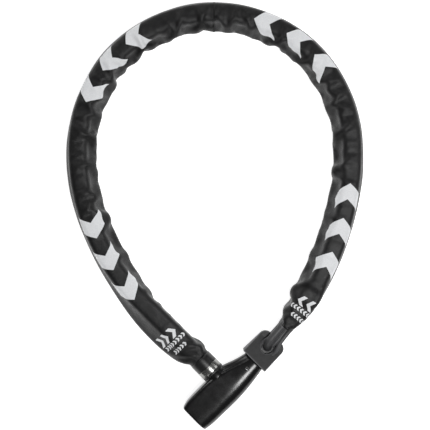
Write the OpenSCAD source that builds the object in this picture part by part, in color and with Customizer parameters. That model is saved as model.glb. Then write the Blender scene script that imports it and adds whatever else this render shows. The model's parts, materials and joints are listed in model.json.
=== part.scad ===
// Chain lock with a fabric sleeve: a loop of tilted chain links in a sewn sleeve, held at one end
// by the eye of the lock head and at the other by a plug that locks into the head's side.
// Millimetres. The lock lies flat on z = 0, +Y points away from the head, +Z is up.

/* [Loop] */
// Radius of the chain's path round the top of the loop
loop_r = 164; // [150:1:180]
// Radius of the path down the right side, to the head's eye
right_r = 323; // [300:1:350]
// Angle that the right side turns through
right_turn = 43; // [41:0.5:45]
// Straight stretch between the eye and the right side
right_tail = 21; // [18:1:24]
// Height of the path above the surface that the lock lies on
path_h = 15; // [15:0.5:17]

/* [Chain] */
// Number of links, the coated end link among them
link_count = 29; // [29:1:30]
// Diameter of the link bar
bar_d = 8; // [7:0.5:8]
// Half the distance between a link's two legs, centre to centre
link_r = 9; // [9:0.5:9.5]
// The same on the end link
end_link_r = 10.5; // [10.5:0.25:11]
// How much longer the end link is than the others
end_link_extra = 17; // [15:1:19]
// Play between two links
link_play = 0.8; // [0.6:0.1:1]
// Tilt of a link about the path
link_tilt = 45; // [42:1:48]
// Tilt of the end link about the path
end_link_tilt = 65; // [60:1:68]
// The link that starts the stretch that swings
bend_link = 6; // [6:1:6]

/* [Sleeve] */
// Sleeve beyond the path, on the outside of the loop
sleeve_out = 14; // [13:0.5:15]
// Sleeve beyond the path, on the inside of the loop
sleeve_in = 24; // [22:0.5:26]
// Thickness of the fabric with its seam allowance
sleeve_wall = 1.5; // [1:0.1:1.6]
// Distance from the eye to the sleeve's mouth
mouth_at = 31; // [31:1:34]
// Length of the narrow stretch behind the mouth
mouth_len = 20; // [16:1:24]
// Width of the narrow stretch
mouth_w = 26; // [26:0.5:28]
// Gap that lets the sleeve bend
bend_gap = 7; // [7:0.5:9]

/* [Head] */
// Length of the jacket
head_len = 99.3; // [99:0.1:100]
// Reach of the jacket towards the plug
head_hi = 23; // [22.5:0.5:24]
// Reach of the jacket away from the plug
head_lo = 18; // [18:0.5:19]
// Radius along the jacket's long edges
head_edge_r = 12; // [10:0.5:13]
// Wall of the jacket
jacket_wall = 2.2; // [1.8:0.1:2.4]
// Gap between the jacket and the key cylinder's face plate
plate_gap = 0.2; // [0.1:0.1:0.3]
// Distance from the key end to the plug's axis
plug_u = 55; // [55:0.5:56]
// Angle of the head in plan
head_angle = 45; // [45:1:45]

/* [Eye] */
// Distance from the key end to the middle of the eye
eye_u = 122.5; // [122:0.5:123]
// Radius of the eye as the end link sees it
eye_r = 8; // [8:0.1:8.3]
// Half width of the eye cap
cap_half_w = 18; // [17:0.5:19]
// Length of the eye cap
cap_len = 38; // [38:0.5:39]
// Thickness of the cap at its rim
cap_rim_t = 8; // [7.5:0.1:8]
// Thickness of the cap where it meets the jacket
cap_base_t = 26; // [24:0.5:27]
// Distance from the key end to the cross pin
cross_pin_u = 88; // [86:0.5:89]
// Radius of the cross pin
cross_pin_r = 2; // [1.5:0.25:2.25]

/* [Plug] */
// Radius of the locking pin
pin_r = 6.3; // [6:0.1:6.4]
// Radius of the socket that takes it
socket_r = 7.1; // [7.1:0.05:7.2]
// Radius of the steel ring
ring_r = 14.3; // [13.5:0.1:14.5]
// Thickness of the black ring next to the head
seal_len = 2.7; // [2:0.1:3]
// Length of the steel ring
ring_len = 8.2; // [7:0.2:9]
// Length of the collar behind the ring
collar_len = 11.8; // [10:0.2:12]
// Distance from the head's axis to the plug's eye
plug_eye_v = 62; // [61:0.5:63]

/* [Cylinder] */
// Offset of the key cylinder from the head's axis, towards the plug
cyl_v = 2.5; // [2:0.5:3]
// Radius of the turning barrel
rotor_r = 9; // [9:0.1:9.1]
// Radius of a code disc
disc_r = 7; // [6.8:0.05:7]
// Number of code discs
disc_count = 5; // [5:1:5]
// Thickness of a code disc
disc_t = 2.5; // [2:0.1:2.5]
// Stroke of the locking bolt
bolt_stroke = 3.6; // [3:0.1:3.6]

/* [Hidden] */
$fn = 64;
link_names = [for (i = [0 : link_count - 1]) i == 0 ? "end_link" : str("link_", i)];
disc_names = [for (i = [1 : disc_count]) str("disc_", i)];

head_half_t = path_h;                        // half the head's thickness
narrow_half_t = 12;                          // the same at the cap end
key_corner_hi = 6;                           // corner radii of the key end in plan
key_corner_lo = 3;
flank_u = 50;                                // where the edge away from the plug starts to curve
flank_r = 270;                               // and the radius of that curve
shoulder_u = [72, 92];                       // the shoulder beyond the plug falls between these
shoulder_v = [head_hi, 15.5, 13.3];
eye_bar_u = eye_u + 0.5;                     // where the end link's bar stands in the eye
bevel_u = 66;                                // the head thins from here to the cap

// The path: up the right side, round the top and down the left side to the plug.
left_turn = 45;
start_dir = 90 - right_turn;
len_1 = right_tail;
len_2 = right_r * right_turn * PI / 180;
len_3 = loop_r * PI;
// Everything is placed about the middle of the loop first, and then moved to centre the lock.
eye_dx = loop_r - right_r + right_r * cos(start_dir - 90) - len_1 * cos(start_dir);
eye_dy = right_r * sin(start_dir - 90) - len_1 * sin(start_dir);
key_dx = eye_dx - eye_bar_u * cos(head_angle);
key_dy = eye_dy - eye_bar_u * sin(head_angle);
lowest_dy = key_dy + (key_corner_lo - (head_lo - key_corner_lo)) * sin(head_angle) - key_corner_lo;
loop_y = -(loop_r + sleeve_out + lowest_dy) / 2;
eye_at = [eye_dx, loop_y + eye_dy];
key_at = [key_dx, loop_y + key_dy];
plug_at = key_at + plug_u * [cos(head_angle), sin(head_angle)];
left_r = (loop_y - loop_r - plug_at[0] - plug_at[1]) / (sqrt(2) - 1);
len_4 = left_r * left_turn * PI / 180;
last_bar_v = plug_eye_v + 0.5;
left_foot = [-loop_r + left_r * (1 - cos(left_turn)), loop_y - left_r * sin(left_turn)];
len_5 = norm(plug_at + last_bar_v * [-sin(head_angle), cos(head_angle)] - left_foot);
path_len = len_1 + len_2 + len_3 + len_4 + len_5;
pitch = (path_len - end_link_extra - link_play - bar_d) / link_count;

sleeve_r = 12;                               // rounding of the sleeve's section
mouth_r = 10;                                // and of its narrow stretch
mouth_wall = 1;
hair = 0.05;                                 // gap between the sleeve's stretches
cover_t = 0.8;                               // coating of the end link
bend_at = station(bend_link) + (bar_d + link_play) / 2;
plug_end_v = [51, 72];                       // the bunched end of the sleeve, along the plug
plug_end_half_w = 20;
left_end_v = 81;                             // where the swinging sleeve stops

seal_v = head_hi + 0.3;
ring_v = seal_v + seal_len;
collar_v = ring_v + ring_len;
neck_v = collar_v + collar_len;
neck_len = 4.5;
neck_r = 11;
pin_tip_v = -9;
groove_w = 5;
groove_depth = 3.2;
plug_eye_r = 9;                              // centre line of the plug's eye
plug_eye_bar = 3.75;                         // and the radius of its bar

bezel_u = [0.8, 3.4];                        // the key cylinder's stations along the head
housing_u = [6.4, 30];
rotor_u = [6.8, 30];
nose_u = 7.8;
disc_u = 9.2;
disc_pitch = 3;
hub_u = 24.8;
cam_floor_u = [30.2, 32.3];
cam_end_u = 45.6;
chamber_u = 45.9;
tail_u = [37.8, 41.4];
peg_u = 39.4;
bolt_tip_u = 47.6;
housing_r = rotor_r + 2;
rotor_gap = 0.06;
cam_r = 8.5;
cam_in_r = 5.7;
peg_r = 1.2;
slot_steps = 6;
sidebar_r = 0.9;
sidebar_at = 8.05;
sidebar_angle = 135;
keyway = [2.4, 8.6];
shutter_u = [5, 5.8];
shutter_w = 8.8;                             // height of the shutter's pivot
shutter_half = 2;
shutter_pin_r = 0.8;
core_v = [-14.5, 16.5];                      // the lock core: reach across, half thickness
core_half_t = 12.2;
core_taper_u = 60;                           // where it starts to taper, and its size at the cap end
core_waist = [80, 8.5];                      // a point of its edge between the two, on the plug's side
core_end_v = [-9, 8];
core_end_half_t = 6.8;
bush_v = [core_v[1] - 3, head_hi - 0.4];
bush_r = 10;
lug_half_t = 2.75;
lug_r = 13.5;
shank = [80, 8, 6];                          // start, half width and half thickness of the lug's shank

// ---- the path ----

function along(h) = [cos(h), sin(h)];

// Heading of the path at distance s from the end link's bar in the eye.
function heading(s) =
    s < len_1 ? start_dir :
    s < len_1 + len_2 ? start_dir + (s - len_1) / right_r * 180 / PI :
    s < len_1 + len_2 + len_3 ? 90 + (s - len_1 - len_2) / loop_r * 180 / PI :
    s < path_len - len_5 ? 270 + (s - len_1 - len_2 - len_3) / left_r * 180 / PI :
    270 + left_turn;

// Middle of the bend at distance s, and the bend's radius.
function bend_of(s) =
    s < len_1 + len_2 ? [loop_r - right_r, loop_y, right_r] :
    s < len_1 + len_2 + len_3 ? [0, loop_y, loop_r] :
    [left_r - loop_r, loop_y, left_r];

function place(s) =
    s < len_1 ? eye_at + s * along(start_dir) :
    s > path_len - len_5 ? left_foot + (s - path_len + len_5) * along(270 + left_turn) :
    let (b = bend_of(s)) [b[0], b[1]] + b[2] * along(heading(s) - 90);

// Distance along the path to the bar that starts link i.
function station(i) = i == 0 ? 0 : end_link_extra + i * pitch;
function bar_span(i) = pitch + bar_d + link_play + (i == 0 ? end_link_extra : 0);

// The links lean to either side in turn. The end link leans further, and the extra lean fades out over
// the next ones, so that neighbours stay nearly square to each other.
function tilt(i) =
    (i % 2 == 0 ? link_tilt : -link_tilt) + (end_link_tilt - link_tilt) * max(0, 1 - i / 4);

// Sweeps a section, drawn with x outwards and y up, along the path from s0 to s1. Each bend is a
// closed solid of its own, which stops a hair short of the next one.
module swept(s0, s1) {
    ends = [0, len_1, len_1 + len_2, len_1 + len_2 + len_3, path_len - len_5, path_len];
    for (k = [0 : 4]) {
        a = max(s0, ends[k] + hair);
        b = min(s1, ends[k + 1]);
        if (b > a) {
            mid = (a + b) / 2;
            if (k == 0 || k == 4) {
                translate([place(b)[0], place(b)[1], path_h])
                    rotate([0, 0, heading(mid) - 90])
                        rotate([90, 0, 0])
                            linear_extrude(b - a) children();
            } else {
                bend = bend_of(mid);
                turn = (b - a) / bend[2] * 180 / PI;
                translate([bend[0], bend[1], path_h])
                    rotate([0, 0, heading(mid) - 90 - turn / 2])
                        rotate_extrude(angle = turn)
                            translate([bend[2], 0]) children();
            }
        }
    }
}

// ---- shared shapes ----

// Local frame of the head: x runs from the key end to the eye, y towards the plug, z = 0 mid-thickness.
module head_frame() {
    translate([key_at[0], key_at[1], path_h]) rotate([0, 0, head_angle]) children();
}

// A rod along the head's x from u0 to u1.
module rod_u(r, u0, u1, v = cyl_v, w = 0) {
    translate([u0, v, w]) rotate([0, 90, 0]) cylinder(r = r, h = u1 - u0);
}

// Turns children drawn about z so that z runs along the plug, from the head's axis outwards.
module plug_axis() {
    head_frame() translate([plug_u, 0, 0]) rotate([-90, 0, 0]) children();
}

module rounded(x0, x1, y0, y1, r) {
    if (y1 - y0 > 2 * r + 0.01) translate([x0, y0 + r]) square([x1 - x0, y1 - y0 - 2 * r]);
    translate([x0 + r, y0]) square([x1 - x0 - 2 * r, y1 - y0]);
    for (x = [x0 + r, x1 - r], y = [y0 + r, y1 - r]) translate([x, y]) circle(r);
}

function arc(x, y, r, a0, a1) = [for (i = [0 : 8]) [x, y] + r * along(a0 + (a1 - a0) * i / 8)];

// The head in plan, drawn in by i all round the two long edges.
function head_outline(i) = concat(
    arc(key_corner_lo, key_corner_lo - head_lo + i, key_corner_lo, 180, 270),
    [for (u = [flank_u : 7 : head_len - 1]) [u, pow(u - flank_u, 2) / 2 / flank_r - head_lo + i]],
    [[head_len, pow(head_len - flank_u, 2) / 2 / flank_r - head_lo + i],
     [head_len, shoulder_v[2] - i],
     [shoulder_u[1], shoulder_v[1] - i],
     [shoulder_u[0], shoulder_v[0] - i]],
    arc(key_corner_hi, head_hi - key_corner_hi - i, key_corner_hi, 90, 180));

// The head's form drawn in by i, cut off at u0 and u1.
module head_form(i, u0, u1) {
    intersection() {
        union() {
            intersection() {
                linear_extrude(4 * head_half_t, center = true) polygon(head_outline(i));
                rotate([90, 0, 90])
                    linear_extrude(head_len)
                        rounded(i - head_lo, head_hi - i, i - head_half_t, head_half_t - i, head_edge_r - i);
            }
            translate([plug_u, 0, 0])
                rotate([-90, 0, 0]) cylinder(r = head_half_t - i, h = head_hi - i);
        }
        translate([0, 3 * head_half_t, 0])
            rotate([90, 0, 0])
                linear_extrude(6 * head_half_t)
                    polygon([[u0, i - head_half_t], [bevel_u, i - head_half_t],
                             [head_len, i - narrow_half_t], [u1, i - narrow_half_t],
                             [u1, narrow_half_t - i], [head_len, narrow_half_t - i],
                             [bevel_u, head_half_t - i], [u0, head_half_t - i]]);
    }
}

// A chain link about the origin: legs along x, in the plane z = 0.
module link_form(span, r, bar) {
    leg = span / 2 - r;
    for (side = [-1, 1]) {
        translate([-leg, side * r, 0]) rotate([0, 90, 0]) cylinder(r = bar, h = 2 * leg);
        translate([side * leg, 0, 0])
            rotate([0, 0, side > 0 ? -90 : 90])
                rotate_extrude(angle = 180) translate([r, 0]) circle(bar);
    }
}

module at_link(i) {
    middle = station(i) + bar_span(i) / 2;
    translate([place(middle)[0], place(middle)[1], path_h])
        rotate([0, 0, heading(middle)]) rotate([tilt(i), 0, 0]) children();
}

// ---- the chain and its sleeve ----

module chain_link(i) {
    color("silver") at_link(i) link_form(bar_span(i), i == 0 ? end_link_r : link_r, bar_d / 2);
}

module end_link_cover() {
    covered = mouth_at - 0.5;
    color("dimgray") at_link(0) intersection() {
        difference() {
            link_form(bar_span(0), end_link_r, bar_d / 2 + cover_t);
            link_form(bar_span(0), end_link_r, bar_d / 2);
        }
        translate([-bar_span(0), -50, -50]) cube([bar_span(0) / 2 + covered, 100, 100]);
    }
}

// Section of the sleeve, drawn in by i.
module sleeve_outline(i) {
    rounded(i - sleeve_in, sleeve_out - i, i - path_h, path_h - i, sleeve_r - i);
}

// Section of the narrow stretch behind the mouth, drawn in by i.
module mouth_outline(i) {
    half = mouth_w / 2;
    rounded(i - half, half - i, i - path_h, path_h - i, mouth_r - i);
}

module sleeve_right() {
    shoulder = mouth_at + mouth_len;
    end = bend_at - bend_gap / 2;
    color("#1a1a1c") {
        swept(mouth_at, shoulder - hair) difference() {
            mouth_outline(0);
            mouth_outline(mouth_wall);
        }
        difference() {
            swept(shoulder, end) sleeve_outline(0);
            swept(shoulder - 1, shoulder + sleeve_wall + 1) mouth_outline(mouth_wall);
            swept(shoulder + sleeve_wall, end + 1) sleeve_outline(sleeve_wall);
        }
    }
}

module sleeve_left() {
    color("#1a1a1c") swept(bend_at + bend_gap / 2, path_len - (left_end_v - last_bar_v)) difference() {
        sleeve_outline(0);
        sleeve_outline(sleeve_wall);
    }
}

module sleeve_plug_end() {
    color("#1a1a1c") plug_axis() translate([0, 0, plug_end_v[0]])
        linear_extrude(plug_end_v[1] - plug_end_v[0]) difference() {
            rounded(-plug_end_half_w, plug_end_half_w, -path_h, path_h, sleeve_r);
            rounded(sleeve_wall - plug_end_half_w, plug_end_half_w - sleeve_wall,
                    sleeve_wall - path_h, path_h - sleeve_wall, sleeve_r - sleeve_wall);
        }
}

// ---- the head's shell ----

module jacket() {
    color("#101012") head_frame() difference() {
        head_form(0, 0, head_len);
        head_form(jacket_wall, -1, head_len + 1);
        translate([plug_u, head_hi - 5, 0]) rotate([-90, 0, 0]) cylinder(r = bush_r + 0.3, h = 10);
        translate([cross_pin_u, 0, -20]) cylinder(r = cross_pin_r + 0.6, h = 40);
    }
}

module lug_shape(grow) {
    translate([shank[0] - grow, -shank[1] - grow, -shank[2] - grow])
        cube([head_len + 2 - shank[0] + grow, 2 * (shank[1] + grow), 2 * (shank[2] + grow)]);
}

// The core's outside: round along its edges, and tapering both ways towards the cap.
module core_form() {
    u0 = bezel_u[1];
    u1 = head_len - 1;
    intersection() {
        translate([u0, 0, 0]) rotate([90, 0, 90]) linear_extrude(u1 - u0)
            rounded(core_v[0], core_v[1], -core_half_t, core_half_t, core_half_t - 0.1);
        linear_extrude(60, center = true)
            polygon([[u0, core_v[0] - 1], [core_taper_u, core_v[0]], [u1, core_end_v[0]],
                     [u1, core_end_v[1]], core_waist, [core_taper_u, core_v[1]], [u0, core_v[1] + 1]]);
        translate([0, 30, 0]) rotate([90, 0, 0]) linear_extrude(60)
            polygon([[u0, -core_half_t - 1], [core_taper_u, -core_half_t], [u1, -core_end_half_t],
                     [u1, core_end_half_t], [core_taper_u, core_half_t], [u0, core_half_t + 1]]);
    }
}

module lock_core() {
    color("#8f9296") head_frame() difference() {
        core_form();
        rod_u(housing_r + 0.05, 0, housing_u[1] + 0.3);
        rod_u(cam_r + 0.5, housing_u[1], chamber_u);
        rod_u(bar_d / 2 + 0.05, chamber_u - 1, plug_u);
        // guide groove of the bolt's peg
        translate([housing_u[1], cyl_v - peg_r - 0.2, 0]) cube([chamber_u - housing_u[1], 2 * peg_r + 0.4, 10.6]);
        // room for the shutter to swing aside
        translate([0, cyl_v, -9]) cube([housing_u[0] - 0.2, 12.5, 20.2]);
        // socket and its bush
        translate([plug_u, pin_tip_v - 2, 0]) rotate([-90, 0, 0]) cylinder(r = socket_r, h = 40);
        translate([plug_u, bush_v[0], 0]) rotate([-90, 0, 0]) cylinder(r = bush_r, h = 20);
        lug_shape(0.1);
        translate([cross_pin_u, 0, -20]) cylinder(r = cross_pin_r, h = 40);
        translate([20, cyl_v, -20]) cylinder(r = 1.5, h = 20);
    }
}

module socket_bush() {
    color("#c9cbce") head_frame() translate([plug_u, bush_v[0], 0]) rotate([-90, 0, 0]) difference() {
        cylinder(r = bush_r, h = bush_v[1] - bush_v[0]);
        translate([0, 0, -1]) cylinder(r = socket_r, h = 20);
    }
}

// The flat part of the lug, round the eye.
module lug_plate() {
    u0 = head_len + 0.1;
    translate([u0, -lug_r, -lug_half_t]) cube([eye_u - u0, 2 * lug_r, 2 * lug_half_t]);
    translate([eye_u, 0, -lug_half_t]) cylinder(r = lug_r, h = 2 * lug_half_t);
}

module eye_lug() {
    color("#9a9da1") head_frame() difference() {
        union() {
            lug_shape(0);
            lug_plate();
        }
        translate([eye_u, 0, -20]) cylinder(r = eye_r + 0.8, h = 40);
        translate([cross_pin_u, 0, -20]) cylinder(r = cross_pin_r, h = 40);
    }
}

module cross_pin() {
    color("#b5b7ba") head_frame() translate([cross_pin_u, 0, -9.5]) cylinder(r = cross_pin_r, h = 19);
}

module eye_cap() {
    corner = 9;
    u0 = head_len + 0.2;
    u1 = u0 + cap_len;
    color("#3a3b3d") difference() {
        head_frame() difference() {
            intersection() {
                translate([0, 0, -20]) linear_extrude(40) {
                    translate([u0, -cap_half_w]) square([cap_len - corner, 2 * cap_half_w]);
                    rounded(u0, u1, -cap_half_w, cap_half_w, corner);
                }
                translate([0, 30, 0]) rotate([90, 0, 0]) linear_extrude(60)
                    polygon([[u0, -cap_base_t / 2], [eye_u + 6.5, -cap_rim_t / 2], [u1, -cap_rim_t / 2],
                             [u1, cap_rim_t / 2], [eye_u + 6.5, cap_rim_t / 2], [u0, cap_base_t / 2]]);
            }
            translate([eye_u, 0, -20]) cylinder(r = eye_r, h = 40);
            lug_shape(0);
            difference() {
                lug_plate();
                translate([eye_u, 0, -20]) cylinder(r = eye_r + 0.8, h = 40);
            }
        }
        // the cap gives way where the coated end link leaves the eye
        at_link(0) link_form(bar_span(0), end_link_r, bar_d / 2 + cover_t + 0.1);
    }
}

// ---- the key cylinder and the bolt ----

module key_bezel() {
    inset = jacket_wall + plate_gap;
    color("#222224") head_frame() difference() {
        intersection() {
            head_form(inset, 0, head_len);
            translate([bezel_u[0], -50, -50]) cube([bezel_u[1] - bezel_u[0], 100, 100]);
        }
        translate([-1, cyl_v - keyway[0] / 2 - 0.3, -keyway[1] / 2 - 0.3])
            cube([10, keyway[0] + 0.6, keyway[1] + 0.6]);
        rod_u(shutter_pin_r, 2.4, 10, cyl_v, shutter_w);
    }
}

module cylinder_housing() {
    color("#b8a46a") head_frame() difference() {
        rod_u(housing_r, housing_u[0], housing_u[1]);
        rod_u(rotor_r - 0.7, 0, 50);
        rod_u(rotor_r + rotor_gap, nose_u - 0.2, 50);
        translate([disc_u, cyl_v, 0]) rotate([sidebar_angle + 90, 0, 0])
            translate([0, rotor_r, -1.1]) cube([15, 0.9, 2.2]);
        translate([20, cyl_v, -20]) cylinder(r = 1.5, h = 20 - rotor_r - 0.8);
    }
}

module housing_pin() {
    color("#b5b7ba") head_frame() translate([20, cyl_v, -12]) cylinder(r = 1.5, h = 12 - rotor_r - 0.8);
}

module keyway_cut(u0, u1) {
    translate([u0, cyl_v - keyway[0] / 2, -keyway[1] / 2]) cube([u1 - u0, keyway[0], keyway[1]]);
}

module rotor() {
    color("#c8b273") head_frame() difference() {
        union() {
            rod_u(rotor_r - 0.8, rotor_u[0], nose_u + 1);
            rod_u(rotor_r, nose_u, rotor_u[1]);
        }
        rod_u(disc_r + 0.1, disc_u - 0.4, 50);
        keyway_cut(0, 20);
        translate([disc_u - 0.2, cyl_v, 0]) rotate([sidebar_angle, 0, 0])
            translate([0, disc_r - 0.5, -1]) cube([15.4, 5, 2]);
    }
}

module sidebar() {
    color("#d6d8da") head_frame() translate([disc_u, cyl_v, 0]) rotate([sidebar_angle, 0, 0])
        translate([0, sidebar_at, 0]) rotate([0, 90, 0]) cylinder(r = sidebar_r, h = 15);
}

module code_disc(i) {
    u0 = disc_u + i * disc_pitch;
    color("#d9c48a") head_frame() difference() {
        rod_u(disc_r, u0, u0 + disc_t);
        keyway_cut(0, 40);
        translate([u0 - 1, cyl_v, 0]) rotate([sidebar_angle, 0, 0])
            translate([0, disc_r, 0]) rotate([0, 90, 0]) cylinder(r = sidebar_r + 0.1, h = 10);
    }
}

// The cam is a cup whose helical slot drives the bolt's peg: the slot is cut step by step.
module cam() {
    color("#a7aaae") head_frame() difference() {
        union() {
            rod_u(disc_r, hub_u, cam_floor_u[0]);
            rod_u(cam_r, cam_floor_u[0], cam_end_u);
        }
        rod_u(cam_in_r, cam_floor_u[1], 60);
        for (k = [0 : slot_steps]) {
            t = k / slot_steps;
            half = peg_r + 0.35;
            translate([peg_u + t * bolt_stroke, cyl_v, 0])
                rotate([-90 * t, 0, 0])
                    translate([-half, -half, cam_in_r - 2]) cube([2 * half, 2 * half, 8]);
        }
    }
}

module locking_bolt() {
    color("#d0d2d4") head_frame() {
        rod_u(cam_in_r - 0.2, tail_u[0], tail_u[1]);
        rod_u(bar_d / 2, tail_u[1] - 0.5, bolt_tip_u - 2.6);
        intersection() {
            rod_u(bar_d / 2, bolt_tip_u - 2.6, bolt_tip_u);
            translate([0, cyl_v - 2.1, -20]) cube([60, 4.2, 40]);
        }
        translate([peg_u, cyl_v, 3]) cylinder(r = peg_r, h = 7.2);
    }
}

// Spring behind the bolt, at the length it has while the bolt is drawn back.
module bolt_spring() {
    turns = 5;
    gap = (tail_u[0] - cam_floor_u[1] - 1.2) / (turns - 1);
    color("#e0e1e3") head_frame() for (k = [0 : turns - 1])
        translate([cam_floor_u[1] + 0.6 + k * gap, cyl_v, 0]) rotate([0, 90, 0])
            rotate_extrude() translate([4.2, 0]) circle(0.45);
}

module shutter() {
    color("#9fa1a4") head_frame() difference() {
        union() {
            translate([shutter_u[0], cyl_v - shutter_half, -keyway[1] / 2 - 0.6])
                cube([shutter_u[1] - shutter_u[0], 2 * shutter_half, shutter_w + keyway[1] / 2 + 0.6]);
            rod_u(shutter_half, shutter_u[0], shutter_u[1], cyl_v, shutter_w);
            rod_u(shutter_half, shutter_u[0], shutter_u[1], cyl_v, -keyway[1] / 2 - 0.6);
        }
        rod_u(shutter_pin_r + rotor_gap, 0, 20, cyl_v, shutter_w);
    }
}

module shutter_pin() {
    color("#c9cbce") head_frame() rod_u(shutter_pin_r, 2.4, shutter_u[1] + 0.3, cyl_v, shutter_w);
}

module shutter_spring() {
    color("#e0e1e3") head_frame() for (u = [3.8, 4.3])
        translate([u, cyl_v, shutter_w]) rotate([0, 90, 0])
            rotate_extrude() translate([1.25, 0]) circle(0.22);
}

// ---- the plug ----

module plug_pin() {
    mid = cyl_v;
    color("#c4c6c9") {
        plug_axis() rotate_extrude() polygon([
            [0, pin_tip_v], [pin_r - 1.5, pin_tip_v], [pin_r, pin_tip_v + 1.5],
            [pin_r, mid - groove_w / 2], [pin_r - groove_depth, mid - groove_w / 2],
            [pin_r - groove_depth, mid + groove_w / 2], [pin_r, mid + groove_w / 2],
            [pin_r, neck_v + neck_len - 4], [4.4, neck_v + neck_len - 2],
            [4.4, plug_eye_v - plug_eye_r + 1], [0, plug_eye_v - plug_eye_r + 1]]);
        plug_axis() translate([0, 0, plug_eye_v]) rotate([0, 0, 45]) rotate([90, 0, 0])
            rotate_extrude() translate([plug_eye_r, 0]) circle(plug_eye_bar);
    }
}

module plug_band(r_in, r_out, v0, v1) {
    plug_axis() translate([0, 0, v0]) difference() {
        cylinder(r = r_out, h = v1 - v0);
        translate([0, 0, -1]) cylinder(r = r_in, h = v1 - v0 + 2);
    }
}

module plug_seal() {
    color("#0c0c0d") plug_band(pin_r, ring_r - 0.2, seal_v, ring_v);
}

module plug_ring() {
    color("#d4d5d2") plug_band(pin_r, ring_r, ring_v, collar_v);
}

module plug_collar() {
    color("#1d1d1f") {
        plug_band(pin_r, ring_r - 0.4, collar_v, neck_v);
        plug_band(pin_r, neck_r, neck_v, neck_v + neck_len);
    }
}

module plug_cuff() {
    color("#2b2b2d") plug_band(neck_r, neck_r + 1.2, neck_v + 0.8, neck_v + 3.8);
}

jacket();
lock_core();
socket_bush();
eye_lug();
cross_pin();
eye_cap();
key_bezel();
cylinder_housing();
housing_pin();
rotor();
sidebar();
cam();
locking_bolt();
bolt_spring();
shutter();
shutter_pin();
shutter_spring();
end_link_cover();
plug_pin();
plug_seal();
plug_ring();
plug_collar();
plug_cuff();
sleeve_right();
sleeve_left();
sleeve_plug_end();
for (i = [0 : disc_count - 1]) code_disc(i);
for (i = [0 : link_count - 1]) chain_link(i);
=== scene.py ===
"""Looks of a chain lock in a fabric sleeve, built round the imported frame: soft goods, moulded parts,
materials, light and camera. Metres, in the frame's own axes."""

import json
import math

import bmesh
import bpy
import numpy as np
from mathutils import Matrix, Vector


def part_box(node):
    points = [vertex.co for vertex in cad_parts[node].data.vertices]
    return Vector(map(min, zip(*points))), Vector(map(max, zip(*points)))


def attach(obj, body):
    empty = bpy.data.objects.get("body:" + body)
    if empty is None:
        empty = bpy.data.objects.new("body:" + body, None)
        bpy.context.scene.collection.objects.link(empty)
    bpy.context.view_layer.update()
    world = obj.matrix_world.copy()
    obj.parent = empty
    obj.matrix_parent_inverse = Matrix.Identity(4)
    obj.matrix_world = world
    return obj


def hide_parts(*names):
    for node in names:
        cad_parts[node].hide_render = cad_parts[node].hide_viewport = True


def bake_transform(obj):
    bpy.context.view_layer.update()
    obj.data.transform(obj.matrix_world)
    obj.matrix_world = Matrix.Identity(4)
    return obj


MM = 0.001
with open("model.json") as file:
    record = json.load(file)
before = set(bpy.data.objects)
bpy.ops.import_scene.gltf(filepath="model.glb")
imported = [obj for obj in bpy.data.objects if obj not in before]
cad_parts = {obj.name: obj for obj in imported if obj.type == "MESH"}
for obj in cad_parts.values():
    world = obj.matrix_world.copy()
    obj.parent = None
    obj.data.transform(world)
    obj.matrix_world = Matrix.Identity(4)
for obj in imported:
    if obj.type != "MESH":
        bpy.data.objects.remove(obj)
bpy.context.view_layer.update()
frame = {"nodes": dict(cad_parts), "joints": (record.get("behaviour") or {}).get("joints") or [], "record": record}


# ---- where things are ----

def middle(node):
    """Middle of a CAD node's box."""
    low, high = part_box(node)
    return np.array((low + high) / 2)


def unit(v):
    return np.array(v) / np.linalg.norm(v)


def natural_spline(knots, values, at):
    """Natural cubic spline through values at knots, read off at other places."""
    n = len(knots)
    gaps = np.diff(knots)
    system = np.eye(n)
    right = np.zeros(values.shape)
    for i in range(1, n - 1):
        system[i, i - 1:i + 2] = gaps[i - 1], 2 * (gaps[i - 1] + gaps[i]), gaps[i]
        right[i] = 6 * ((values[i + 1] - values[i]) / gaps[i] - (values[i] - values[i - 1]) / gaps[i - 1])
    curve = np.linalg.solve(system, right)
    k = np.clip(np.searchsorted(knots, at) - 1, 0, n - 2)
    g, a = gaps[k][:, None], (at - knots[k])[:, None]
    b = g - a
    return ((curve[k] * b ** 3 + curve[k + 1] * a ** 3) / (6 * g)
            + (values[k] / g - curve[k] * g / 6) * b + (values[k + 1] / g - curve[k + 1] * g / 6) * a)


class Route:
    """Middle line of the sleeve in plan, from its mouth over the end link to the neck of the plug."""

    def __init__(self, points):
        points = np.array(points)
        knots = np.concatenate([[0], np.cumsum(np.linalg.norm(np.diff(points, axis=0), axis=1))])
        self.at = natural_spline(knots, points, np.linspace(0, knots[-1], 4001))
        steps = np.linalg.norm(np.diff(self.at, axis=0), axis=1)
        self.s = np.concatenate([[0], np.cumsum(steps)])
        self.way = np.gradient(self.at, axis=0)
        self.way /= np.linalg.norm(self.way, axis=1)[:, None]
        self.length = self.s[-1]

    def place(self, s):
        """Points and headings at distances s."""
        at = np.stack([np.interp(s, self.s, self.at[:, k]) for k in (0, 1)], axis=-1)
        way = np.stack([np.interp(s, self.s, self.way[:, k]) for k in (0, 1)], axis=-1)
        return at, way / np.linalg.norm(way, axis=-1, keepdims=True)

    def nearest(self, point):
        """Distance along the route of the place nearest to a point."""
        return self.s[np.argmin(np.linalg.norm(self.at - np.array(point)[:2], axis=1))]


LINKS = ["end_link"] + [f"link_{i}" for i in range(1, 29)]
plug_way = unit(middle("plug_cuff")[:2] - middle("plug_ring")[:2])
neck = middle("plug_cuff")[:2] - plug_way * 0.9 * MM
route = Route([middle(name)[:2] for name in LINKS] + [neck])
chain_z = middle("link_14")[2]


def smooth_step(x, low, high):
    t = np.clip((x - low) / (high - low), 0, 1)
    return t * t * (3 - 2 * t)


def steady(values):
    """Values without their last digits, which can differ from one machine to the next and would change how
    the cloth folds."""
    return np.round(values, 9)


# ---- mesh helpers ----

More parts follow.
